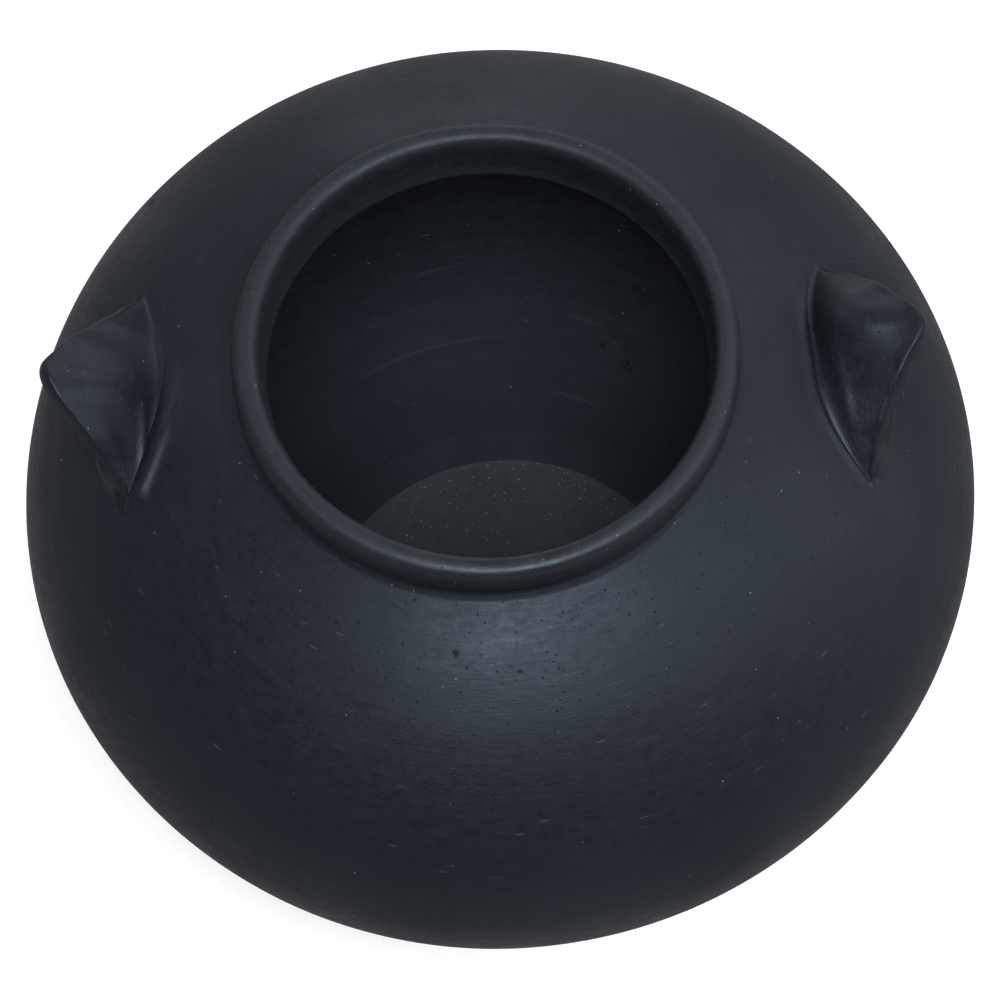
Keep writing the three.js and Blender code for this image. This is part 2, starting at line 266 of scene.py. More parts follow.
class Surface:
    """Every row and column of the pot's surface, and which rows belong to which stretch."""

    def __init__(self):
        stretches = profile()
        self.span = {}
        rows = []
        for name, points in stretches.items():
            start = len(rows) - 1 if rows else 0
            rows.extend(points if not rows else points[1:])
            self.span[name] = (start, len(rows) - 1)
        self.rows = np.array(rows)
        self.along = distance_along(self.rows)
        self.angle = np.arange(COLUMNS) * 2 * math.pi / COLUMNS
        self.lift = self.relief()
        self.points = self.displaced()
        self.normals = self.measured_normals()

    def between(self, first, last, fade):
        """1 in the rows from one stretch to another, fading to 0 over a distance at both ends."""
        low = self.along[self.span[first][0]]
        high = self.along[self.span[last][1]]
        rise = smooth_step(self.along, low, low + fade)
        return (rise * (1 - smooth_step(self.along, high - fade, high)))[:, None]

    def relief(self):
        """How far the hand-made surface stands off the true profile."""
        along, angle = np.meshgrid(self.along, self.angle, indexing="ij")
        radius = self.rows[:, :1]

        def waves(seed, layers):
            return sum(
                lift * lattice_noise(seed + k, along, angle, cell, around)
                for k, (lift, cell, around) in enumerate(layers)
            )

        inside = self.between("shoulder_in", "lower_in", 12 * MM)
        level = np.clip(right_normals(self.rows)[:, 1:], 0, 1)
        high_side = LIP_RADIUS + LIP_HALF_THICKNESS * np.sin(angle)
        lean = LIP_LEAN * level * (radius - high_side) * np.sin(angle)
        seam = LUTING_LINE_RADIUS + LUTING_LINE_WANDER * np.sin(3 * (angle + LUTING_LINE_TURN))
        line = LUTING_LINE_DEPTH * np.exp(-(((radius - seam) / LUTING_LINE_WIDTH) ** 2))
        bead = BEAD_LIFT * np.exp(-(((radius - BEAD_RADIUS) / BEAD_WIDTH) ** 2))
        made = waves(1, BODY_WAVES)
        made += waves(3, RING_WAVES) * (1 + inside)
        made += waves(5, SCRAPE_WAVES) * inside
        made += (waves(7, LIP_WAVES) + lean) * self.between("lip", "lip", 5 * MM)
        luted = bead * (1 + waves(9, BEAD_WAVES)) - line * (0.6 + waves(8, LINE_WAVES))
        made += luted * self.between("collar_out", "collar_out", 1 * MM)
        calm = smooth_step(self.rows[:, 0], 0, 30 * MM)[:, None]  # at the axis
        standing = smooth_step(self.rows[:, 1], 0, 5 * MM)[:, None]  # and where the pot stands
        return made * calm * standing

    def displaced(self):
        """The surface's points, moved off the profile by its relief, with the neck set aside."""
        normals = right_normals(self.rows)
        radius = self.rows[:, :1] + self.lift * normals[:, :1]
        height = self.rows[:, 1:] + self.lift * normals[:, 1:]
        x = radius * np.cos(self.angle) - neck_shift(height)
        y = radius * np.sin(self.angle)
        return np.stack([x, y, height], axis=-1)

    def measured_normals(self):
        """Normals of the displaced surface, which point out of the clay."""
        along = np.gradient(self.points, axis=0)
        around = np.roll(self.points, -1, axis=1) - np.roll(self.points, 1, axis=1)
        normals = np.cross(around, along)
        length = np.linalg.norm(normals, axis=-1, keepdims=True)
        normals = normals / np.maximum(length, 1e-12)
        normals[0] = (0, 0, -1)
        normals[-1] = (0, 0, 1)
        return normals

    def on_shoulder(self, values, radius, angle):
        """Values of the surface at points of the shoulder, drawn from its rows and columns."""
        first, last = self.span["belly_high_out"][0], self.span["shoulder_out"][1]
        radii = self.rows[first : last + 1, 0][::-1]
        row = last - np.interp(radius, radii, np.arange(len(radii)))
        column = angle / (2 * math.pi) * COLUMNS
        low = np.minimum(np.floor(row).astype(int), last - 1)
        left = np.floor(column).astype(int)
        up, right = row - low, column - left
        if values.ndim == 3:
            up, right = up[..., None], right[..., None]
        here, after = left % COLUMNS, (left + 1) % COLUMNS
        near = values[low, here] * (1 - right) + values[low, after] * right
        far = values[low + 1, here] * (1 - right) + values[low + 1, after] * right
        return near * (1 - up) + far * up


SURFACE = Surface()


def ring_faces(first, second, count):
    """Quads between two closed rows of vertices, given as each row's first vertex."""
    here = np.arange(count)
    after = (here + 1) % count
    return np.column_stack([first + here, first + after, second + after, second + here])


def mesh_object(name, vertices, faces):
    mesh = bpy.data.meshes.new(name)
    mesh.from_pydata(vertices, [], faces)
    mesh.update()
    made = bpy.data.objects.new(name, mesh)
    bpy.context.scene.collection.objects.link(made)
    return made


def shade_corners(mesh, flat, normals):
    """Gives the corners of a mesh the normals of their vertices, except on its flat faces."""
    mesh.polygons.foreach_set("use_smooth", ~flat)
    vertex = np.empty(len(mesh.loops), dtype=np.int32)
    mesh.loops.foreach_get("vertex_index", vertex)
    corners = np.empty(len(mesh.polygons), dtype=np.int32)
    mesh.polygons.foreach_get("loop_total", corners)
    face = np.repeat(np.arange(len(corners)), corners)
    face_normals = np.empty(len(corners) * 3, dtype=np.float32)
    mesh.polygons.foreach_get("normal", face_normals)
    face_normals = face_normals.reshape(-1, 3)
    corner_normals = np.where(flat[face, None], face_normals[face], normals[vertex])
    mesh.normals_split_custom_set(corner_normals.tolist())


def wall_piece(name, *stretches):
    """A closed piece of the wall: the surface of its stretches, in profile order, joined by the
    flat faces where it meets its neighbours. Shading follows the whole pot's surface, so that no
    joint shows in the fired clay. At a pole, on the axis, a row is a single vertex."""
    poles = (0, len(SURFACE.rows) - 1)
    vertices, normals, faces, flat = [], [], [], []
    firsts = []  # each row's first vertex, whether it is a pole, and the row
    used = 0
    for stretch in stretches:
        start, stop = SURFACE.span[stretch]
        for row in range(start, stop + 1):
            pole = row in poles
            vertices.append(SURFACE.points[row, :1] if pole else SURFACE.points[row])
            normals.append(SURFACE.normals[row, :1] if pole else SURFACE.normals[row])
            firsts.append((used, pole, row))
            used += 1 if pole else COLUMNS
    pairs = list(zip(firsts, firsts[1:]))
    if not (firsts[0][1] and firsts[-1][1]):
        pairs.append((firsts[-1], firsts[0]))
    for (first, first_pole, row), (second, second_pole, next_row) in pairs:
        quads = ring_faces(first, second, COLUMNS)
        if first_pole:
            quads = np.column_stack([quads[:, 2], quads[:, 3], np.full(COLUMNS, first)])
        elif second_pole:
            quads = np.column_stack([quads[:, 0], quads[:, 1], np.full(COLUMNS, second)])
        faces.extend(quads.tolist())
        flat.extend([next_row != row + 1] * COLUMNS)
    made = mesh_object(name, np.vstack(vertices), faces)
    shade_corners(made.data, np.array(flat), np.vstack(normals))
    return made


# ---------------------------------------------------------------- lugs and luting coils


@dataclass
class Lug:
    """A wing pinched out of the shoulder, cupped towards the neck. Places along it run from -1 at
    its front end to 1 at its back end. A mark drawn by a finger is a line of (angle in degrees,
    radius in mm) points, and a ridge is such a line with its height and half width in mm. A hollow
    is such a point with its depth and radius in mm."""

    side: str
    seed: int
    front: float  # the angles round the pot of its front and back ends
    back: float
    front_radius: float  # and their radii
    back_radius: float
    crease: float  # radius at mid-lug where the hollow face meets the shoulder
    heel: float  # and where the underside does
    tip: float  # the place of its tip
    nose: float  # share of its half length over which the tip is rounded
    length: float  # from the shoulder to the tip
    lean: float  # in degrees above level at mid-lug
    cup: float  # how much more upright it is at its two ends
    front_fall: float  # how the edge falls from tip to end: 1 is straight, more is hollowed
    back_fall: float
    edge: float  # thickness of the pinched edge
    crown: float  # how far the face swells
    bulge: float  # the place where it swells most
    bow: float  # the crease's curve in plan: 2 is even, more is tighter at the ends
    ridges: tuple
    hollows: tuple
    coil: tuple  # heights of its luting coil at COIL_PLACES
    coil_inset: float  # how far inside the crease the coil's crest runs
    coil_crest: float  # half width of that crest


COIL_PLACES = (-1, -0.5, 0, 0.5, 1)
LUGS = (
    Lug(
        side="left",
        seed=21,
        front=math.radians(193.6),
        back=math.radians(157.8),
        front_radius=122.5 * MM,
        back_radius=120.5 * MM,
        crease=106.5 * MM,
        heel=128 * MM,
        tip=-0.11,
        nose=0.13,
        length=38.6 * MM,
        lean=42,
        cup=14,
        front_fall=1.24,
        back_fall=1.0,
        edge=6.2 * MM,
        crown=2.8 * MM,
        bulge=-0.11,
        bow=2.0,
        ridges=(([(177.5, 112.2), (183, 112.6), (187, 114.5), (190, 117)], 0.6, 1.2),),
        hollows=(((183, 131), 1.4, 9), ((186, 122), 0.8, 7)),
        coil=(2.9 * MM, 2.5 * MM, 0.9 * MM, 0.2 * MM, 0),
        coil_inset=3.0 * MM,
        coil_crest=2.1 * MM,
    ),
    Lug(
        side="right",
        seed=22,
        front=math.radians(-16.3),
        back=math.radians(20.5),
        front_radius=126.5 * MM,
        back_radius=117.5 * MM,
        crease=106 * MM,
        heel=129 * MM,
        tip=0.06,
        nose=0.07,
        length=36.2 * MM,
        lean=44,
        cup=6,
        front_fall=0.98,
        back_fall=0.93,
        edge=6.4 * MM,
        crown=8.5 * MM,
        bulge=0.26,
        bow=2.8,
        ridges=(
            ([(7, 112), (3, 112.2), (-0.9, 113.4), (-7.3, 116.7), (-12.5, 121.5)], 0.7, 2.1),
            ([(9.6, 160), (8.4, 142), (7.4, 122)], 2.4, 5.5),
            ([(3.0, 146), (0.8, 139), (0.4, 133), (0.6, 127), (1.4, 120)], -0.9, 2.6),
        ),
        hollows=(),
        coil=(1.0 * MM, 1.3 * MM, 1.1 * MM, 0.8 * MM, 0.3 * MM),
        coil_inset=1.6 * MM,
        coil_crest=0.6 * MM,
    ),
)
LUG_SECTIONS = 170  # sections along a lug, and the points of each
LUG_POINTS = 110
COIL_SECTIONS = 120
COIL_POINTS = 40
LUG_TAIL = 1.12  # the place where a lug's ends have sunk into the wall
COIL_FADE = 0.96  # the place from which a coil's ends sink
COIL_TAIL = 1.1
LUG_LANDING = 0.04  # share of the length in which a lug's edge levels out at its ends
ARRIS = 1.6 * MM  # how far back the rounding of the pinched edge's arrises reaches
TIP_ROUNDING = 2.6 * MM  # how much further it reaches at the tip
TIP_SPAN = 0.16  # share of the half length that is near the tip
SWELL_SPAN = 0.36  # and that the face swells over
EDGE_TURN = math.radians(20)  # how far the edge's flat looks down from the lug's own lean
PINCH_WAVES = ((0.16, 7, 1), (0.08, 17, 2))  # of the edge's thickness: share, rate and phase
EDGE_WAVES = ((0.5, 9, 3), (0.3, 23, 1))  # of the edge's line, in mm
HOLLOW_FACE = 0.53  # the hollow face starts at this share of a section's points
SKIRT = -0.6 * MM  # lift of the thin edges of a luted piece, so that they fade into the wall
BURIED = -3 * MM  # and of its closed underside
BURIED_POINTS = 9
STANDING_CLEAR = 0.9 * MM  # lift at which luted clay no longer shades as the wall does
HANDLED = "handled"  # the attribute that is 1 where it stands clear


def on_shoulder(radius, lift):
    """The point that stands off the shoulder's true profile by a lift, in radius and height."""
    height = BELLY_HEIGHT + SHOULDER_RISE * math.sqrt(1 - (radius / BELLY_RADIUS) ** 2)
    normal = np.array([radius / BELLY_RADIUS**2, (height - BELLY_HEIGHT) / SHOULDER_RISE**2])
    return np.array([radius, height]) + lift * normal / np.linalg.norm(normal)


def shoulder_lift(radius, height):
    """How far points stand off the shoulder's true profile."""
    off = (radius / BELLY_RADIUS) ** 2 + ((height - BELLY_HEIGHT) / SHOULDER_RISE) ** 2 - 1
    slope = 2 * np.hypot(radius / BELLY_RADIUS**2, (height - BELLY_HEIGHT) / SHOULDER_RISE**2)
    return off / slope


def smooth_line(handles, count):
    """A uniform cubic B-spline from its first handle to its last. A handle given twice makes a
    crisp arris."""
    handles = np.array(handles)
    handles = np.vstack([2 * handles[0] - handles[1], handles, 2 * handles[-1] - handles[-2]])
    places = np.linspace(0, len(handles) - 3, count)
    first = np.minimum(places.astype(int), len(handles) - 4)
    t = (places - first)[:, None]
    return (
        (1 - t) ** 3 * handles[first]
        + (3 * t**3 - 6 * t**2 + 4) * handles[first + 1]
        + (-3 * t**3 + 3 * t**2 + 3 * t + 1) * handles[first + 2]
        + t**3 * handles[first + 3]
    ) / 6


def lug_reach(lug, place):
    """Share of the lug's length that its edge reaches: 1 at the rounded tip, 0 at the ends."""

    def soft(x):
        return math.hypot(x, lug.nose) - lug.nose

    whole = 1 + lug.tip if place < lug.tip else 1 - lug.tip
    away = min(soft(place - lug.tip) / soft(whole), 1)
    reach = (1 - away) ** (lug.front_fall if place < lug.tip else lug.back_fall)
    return math.hypot(reach, LUG_LANDING) - LUG_LANDING


def end_radius(lug, place):
    return lug.front_radius if place < 0 else lug.back_radius


def crease_radius(lug, place):
    return lug.crease + (end_radius(lug, place) - lug.crease) * min(abs(place) ** lug.bow, 1)


def wavering(lug, place, waves):
    """The potter's unsteady hand along a lug."""
    return sum(size * math.sin(rate * place + phase * lug.seed) for size, rate, phase in waves)


def lug_section(lug, place):
    """Handles of a lug's section: up its underside, over the squared edge, down the hollow face."""
    crease = crease_radius(lug, place)
    heel = lug.heel + (end_radius(lug, place) + 2 * MM - lug.heel) * min(place**2, 1)
    reach = lug_reach(lug, place)
    sunk = smooth_step(abs(place), 1, LUG_TAIL)
    rise = 1 - sunk

    def skirted(radius, lift):
        return on_shoulder(radius, lift * rise + SKIRT * sunk)

    lean = math.radians(lug.lean + lug.cup * min(abs(place), 1))
    out = np.array([math.cos(lean), math.sin(lean)])
    inward = np.array([-out[1], out[0]])
    wander = 0.4 + wavering(lug, place, EDGE_WAVES) * min(4 * reach, 1)
    apex = skirted((crease + heel) / 2, 0) + out * (reach * lug.length + wander * MM * rise)
    turned = lean - EDGE_TURN
    square = np.array([-math.sin(turned), math.cos(turned)])
    pinch = 1 + wavering(lug, place, PINCH_WAVES)
    across = square * lug.edge / 2 * pinch * min(0.3 + 1.6 * reach, 1) * rise
    outer, inner = apex - across, apex + across
    soft = out * (ARRIS + TIP_ROUNDING * math.exp(-(((place - lug.tip) / TIP_SPAN) ** 2)))
    swell = inward * lug.crown * math.exp(-(((place - lug.bulge) / SWELL_SPAN) ** 2))
    hollow = skirted(0.93 * crease + 0.07 * heel, 1.2 * MM)
    return [
        on_shoulder(heel + 9 * MM, SKIRT),
        on_shoulder(heel + 5 * MM, 0.2 * SKIRT),
        skirted(heel + 1.5 * MM, 0.5 * MM),
        0.62 * skirted(heel, MM) + 0.38 * outer,
        outer - soft,
        outer,
        inner,
        inner - soft,
        0.62 * inner + 0.38 * hollow + swell,
        0.26 * inner + 0.74 * hollow + 0.9 * swell,
        hollow,
        skirted(crease - 0.6 * MM, 0.4 * MM),
        skirted(crease - 3.5 * MM, 0.05 * MM),
        on_shoulder(crease - 7 * MM, 0.4 * SKIRT),
        on_shoulder(crease - 11 * MM, SKIRT),
    ]


def coil_section(lug, place):
    """Handles of a luting coil's section: a low smear along the lug's crease."""
    crest = crease_radius(lug, place) - lug.coil_inset
    outer, inner = crest + lug.coil_crest, crest - lug.coil_crest
    fade = 1 - smooth_step(abs(place), COIL_FADE, COIL_TAIL)
    rise = np.interp(place, COIL_PLACES, lug.coil) * fade
    return [
        on_shoulder(outer + 5 * MM, SKIRT),
        on_shoulder(outer + 2 * MM, 0.4 * rise + 0.2 * SKIRT),
        on_shoulder(outer, rise),
        on_shoulder(inner, rise),
        on_shoulder(inner - 2 * MM, 0.35 * rise),
        on_shoulder(inner - 5 * MM, 0.25 * rise + 0.3 * SKIRT),
        on_shoulder(inner - 9 * MM, SKIRT),
    ]


def line_distance(points, line):
    """Distance in plan from points to a line of points, and the share of the line passed there."""
    best = np.full(len(points), np.inf)
    share = np.zeros(len(points))
    for k, (start, stop) in enumerate(zip(line, line[1:])):
        way = stop - start
        t = np.clip((points - start) @ way / (way @ way), 0, 1)
        gap = np.linalg.norm(points - start - t[:, None] * way, axis=1)
        nearer = gap < best
        best = np.where(nearer, gap, best)
        share = np.where(nearer, (k + t) / (len(line) - 1), share)
    return best, share


def in_plan(marks):
    """Points in plan from (angle in degrees, radius in mm)."""
    angle, radius = np.array(marks).T
    angle, radius = np.radians(angle), radius * MM
    return np.column_stack([radius * np.cos(angle), radius * np.sin(angle)])


def finger_marks(lug, plan):
    """Lift of the finger ridges and thumb hollows in a lug's face, at points in plan."""
    lift = np.zeros(len(plan))
    for marks, height, half_width in lug.ridges:
        gap, share = line_distance(plan, in_plan(marks))
        ends = smooth_step(share, 0, 0.25) * (1 - smooth_step(share, 0.6, 1))
        lift += height * MM * ends * np.exp(-((gap / (half_width * MM)) ** 2))
    for centre, depth, radius in lug.hollows:
        gap = np.linalg.norm(plan - in_plan([centre])[0], axis=1)
        lift -= depth * MM * np.exp(-((gap / (radius * MM)) ** 2))
    return lift


def grid_normals(grid):
    along = np.gradient(grid, axis=0)
    across = np.gradient(grid, axis=1)
    normals = np.cross(along, across)
    return normals / np.maximum(np.linalg.norm(normals, axis=-1, keepdims=True), 1e-12)


def marked(lug, grid, facing):
    """A lug's points with its hollow face moved by the finger marks."""
    sections, count = grid.shape[:2]
    first = int(HOLLOW_FACE * count)
    normals = facing * grid_normals(grid)[:, first:]
    lift = finger_marks(lug, grid[:, first:, :2].reshape(-1, 2)).reshape(sections, -1)
    lift *= smooth_step(np.arange(count - first), 2, 12)
    grid[:, first:] += lift[..., None] * normals
    return grid


def buried_row(row, angle):
    """The underside of one section, under the pot's surface, from its last point to its first."""
    radii = np.linspace(row[-1][0], row[0][0], BURIED_POINTS)
    points = np.array([on_shoulder(radius, BURIED) for radius in radii])
    x = points[:, 0] * math.cos(angle) - neck_shift(points[:, 1])
    return np.column_stack([x, points[:, 0] * math.sin(angle), points[:, 1]])


def lofted(name, lug, section_at, tail, sections, count, marks=False):
    """A closed body that follows the shoulder under a lug, closed under the pot's surface. Its
    shading turns into the wall's where it sinks in, as luted clay is smoothed."""
    places = np.linspace(-tail, tail, sections)
    angles = (lug.front + lug.back) / 2 + (lug.back - lug.front) / 2 * places
    facing = 1 if lug.back > lug.front else -1
    flat = np.array([smooth_line(section_at(lug, place), count) for place in places])
    x = flat[..., 0] * np.cos(angles)[:, None]
    y = flat[..., 0] * np.sin(angles)[:, None]
    grid = np.stack([x, y, flat[..., 1]], axis=-1)
    if marks:
        grid = marked(lug, grid, facing)

    radius = np.hypot(grid[..., 0], grid[..., 1])
    around = np.arctan2(grid[..., 1], grid[..., 0]) % (2 * math.pi)
    wall = SURFACE.on_shoulder(SURFACE.normals, radius, around)
    relief = SURFACE.on_shoulder(SURFACE.lift, radius, around)[..., None]
    own = facing * grid_normals(grid)
    stands = smooth_step(shoulder_lift(radius, grid[..., 2]), 0, STANDING_CLEAR)
    shading = wall + (own - wall) * stands[..., None]
    shading /= np.linalg.norm(shading, axis=-1, keepdims=True)
    grid += relief * wall
    grid[..., 0] -= neck_shift(grid[..., 2])

    under = np.array([buried_row(row, angle) for row, angle in zip(flat, angles)])
    loops = np.concatenate([grid, under], axis=1)
    size = loops.shape[1]
    faces = []
    for i in range(sections - 1):
        faces.extend(ring_faces(i * size, (i + 1) * size, size).tolist())
    faces.append(list(range(size))[::-1])
    faces.append(list(range((sections - 1) * size, sections * size)))
    if facing > 0:
        faces = [face[::-1] for face in faces]
    made = mesh_object(name, loops.reshape(-1, 3), faces)
    mesh = made.data
    mesh.polygons.foreach_set("use_smooth", [True] * len(faces))
    handled = np.concatenate([stands, np.zeros((sections, BURIED_POINTS))], axis=1)
    mesh.attributes.new(HANDLED, "FLOAT", "POINT").data.foreach_set("value", handled.ravel())
    down = np.broadcast_to((0.0, 0.0, -1.0), under.shape)
    corner_normals = np.concatenate([shading, down], axis=1).reshape(-1, 3)
    mesh.normals_split_custom_set_from_vertices(corner_normals.tolist())
    return made


# ---------------------------------------------------------------- materials


def add_node(tree, kind, settings=None, **inputs):
    """A node with its settings, and its inputs set to numbers or linked to sockets."""
    made = tree.nodes.new(kind)
    for name, value in (settings or {}).items():
        setattr(made, name, value)
    for name, value in inputs.items():
        key = int(name[1:]) if name[0] == "_" else name.replace("_", " ")
        socket = made.inputs[key]
        if isinstance(value, bpy.types.NodeSocket):
            tree.links.new(value, socket)
        else:
            socket.default_value = value
    return made


def maths(tree, operation, *values):
    inputs = {f"_{k}": value for k, value in enumerate(values)}
    return add_node(tree, "ShaderNodeMath", {"operation": operation}, **inputs).outputs[0]


def mapped(tree, value, low, high, new_low, new_high):
    inputs = {"_0": value, "_1": low, "_2": high, "_3": new_low, "_4": new_high}
    return add_node(tree, "ShaderNodeMapRange", **inputs).outputs[0]


def swung(tree, field, swing, middle=0):
    """A noise field about a middle value, spread by a swing on either side."""
    return mapped(tree, field, 0.3, 0.7, middle - swing, middle + swing)


def weighed(tree, value, weight):
    return maths(tree, "MULTIPLY", value, weight)


def split(tree, vector):
    return add_node(tree, "ShaderNodeSeparateXYZ", Vector=vector).outputs


def spot(tree, place, centre, radius):
    """1 at a point of the pot, falling to 0 at a radius round it."""
    gap = add_node(tree, "ShaderNodeVectorMath", {"operation": "DISTANCE"}, _0=place, _1=centre)
    return mapped(tree, gap.outputs["Value"], 0.35 * radius, radius, 1, 0)


def scrape(tree, pattern, height, first, last, slope):
    """1 on a thin line that a scraping tool left on the far wall inside, from one x to another."""
    middle, half = (first + last) / 2, (last - first) / 2
    off = maths(tree, "SUBTRACT", pattern.x, middle)
    line = maths(tree, "MULTIPLY_ADD", off, slope, height)
    gap = maths(tree, "ABSOLUTE", maths(tree, "SUBTRACT", pattern.z, line))
    near = mapped(tree, gap, SCRAPE_CORE, SCRAPE_HALF_WIDTH, 1, 0)
    window = mapped(tree, maths(tree, "ABSOLUTE", off), 0.5 * half, half, 1, 0)
    behind = maths(tree, "GREATER_THAN", pattern.y, 0.0)
    return product(tree, near, window, behind)


def scaled(tree, colour, factor):
    settings = {"operation": "SCALE"}
    return add_node(tree, "ShaderNodeVectorMath", settings, _0=colour, Scale=factor).outputs[0]


def blended(tree, share, first, second):
    settings = {"data_type": "RGBA"}
    return add_node(tree, "ShaderNodeMix", settings, _0=share, _6=first, _7=second).outputs[2]


def product(tree, *values):
    result = values[0]
    for value in values[1:]:
        result = maths(tree, "MULTIPLY", result, value)
    return result


def total(tree, *values):
    result = values[0]
    for value in values[1:]:
        result = maths(tree, "ADD", result, value)
    return result


class ClayPattern:
    """Where a point of the pot is, and marks that run round the pot as the potter's tools did, in
    coordinates of (angle, height, radius)."""

    def __init__(self, tree):
        self.tree = tree
        self.place = add_node(tree, "ShaderNodeTexCoord").outputs["Object"]
        self.x, self.y, self.z = split(tree, self.place)
        across = maths(tree, "MULTIPLY", self.x, self.x)
        self.radius = maths(tree, "SQRT", maths(tree, "MULTIPLY_ADD", self.y, self.y, across))
        backwards = maths(tree, "MULTIPLY", self.y, -1.0)
        self.angle = maths(tree, "ARCTAN2", self.x, backwards)  # its jump is at the pot's back

    def round_coordinates(self, length, width):
        """Coordinates in which features are a length round the belly and a width across it."""
        tree = self.tree
        x = maths(tree, "MULTIPLY", self.angle, BELLY_RADIUS / length)
        y = maths(tree, "DIVIDE", self.z, width)
        z = maths(tree, "DIVIDE", self.radius, width)
        return add_node(tree, "ShaderNodeCombineXYZ", X=x, Y=y, Z=z).outputs[0]

    def field(self, place, scale, detail):
        inputs = {"Vector": place, "Scale": scale, "Detail": detail}
        return add_node(self.tree, "ShaderNodeTexNoise", **inputs).outputs[0]

    def noise(self, size, detail=0.0):
        return self.field(self.place, 1 / size, detail)

    def streaks(self, length, width, detail=0.0):
        return self.field(self.round_coordinates(length, width), 1.0, detail)

    def dashes(self, length, width, size, share):
        """Sparse marks in a share of the cells of a pattern that runs round the pot."""
        place = self.round_coordinates(length, width)
        cells = add_node(self.tree, "ShaderNodeTexVoronoi", Vector=place, Scale=1.0)
        return self.chosen(cells, size, share)

    def specks(self, spacing, size, share):
        """Sparse round marks, in a share of cells that are a spacing wide."""
        cells = add_node(self.tree, "ShaderNodeTexVoronoi", Vector=self.place, Scale=1 / spacing)
        return self.chosen(cells, size / spacing, share)

    def chosen(self, cells, size, share):
        """1 at the middle of a share of the cells, falling to 0 at a size round it."""
        near = mapped(self.tree, cells.outputs["Distance"], 0.4 * size, size, 1, 0)
        draw = split(self.tree, cells.outputs["Color"])[0]
        return weighed(self.tree, near, mapped(self.tree, draw, 0.0, share, 1, 0))


# The clay's pattern: sizes of its features, and of the cells that each hold a mark or none
PATCH_SIZE = 50 * MM
MOTTLE_SIZE = 3.4 * MM
STREAK_LENGTH = 15 * MM
STREAK_WIDTH = 0.9 * MM
GRAIN_SIZE = 0.55 * MM
PIT_CELL = (2.2 * MM, 1.1 * MM)
PIT_SHARE = 0.16
SCRATCH_CELL = (9 * MM, 1.1 * MM)
SCRATCH_SHARE = 0.035
SPECK_SHARE = 0.6
PALE_GRIT = (0.22, 0.22, 0.22, 1)
PIT_BLACK = (0.002, 0.002, 0.002, 1)
SKY_TINT = (0.66, 0.83, 1.0, 1)  # of the blue sheen on carbon-black clay
SCRAPE_CORE = 0.15 * MM
SCRAPE_HALF_WIDTH = 0.55 * MM
PAINTED_SHADE_LOW = 143 * MM  # painted shade darkens the inside where it faces down, growing over this stretch of height
PAINTED_SHADE_HIGH = 198 * MM
PAINTED_SHADE_SHARE = 0.9
SETTLED_LOW = 25 * MM  # the rougher clay low inside fades out over this one
SETTLED_HIGH = 60 * MM
BURNISHED_CHANGE = -0.12  # of roughness


@dataclass
class Finish:
    """One of the pot's clays. Marks and burnished places are (point, radius)."""

    tint: tuple
    roughness: float
    specular: float
    speck_size: float  # of the pale grit
    speck_gap: float
    pits: float = 1.0  # how many pits and scratches it has
    marks: tuple = ()  # dark marks
    scrapes: tuple = ()  # scrapes on the inside, as the arguments of scrape()
    burnished: tuple = ()  # glossier places
    handled: tuple = ()  # factor on the tone and change of roughness where luted clay was handled


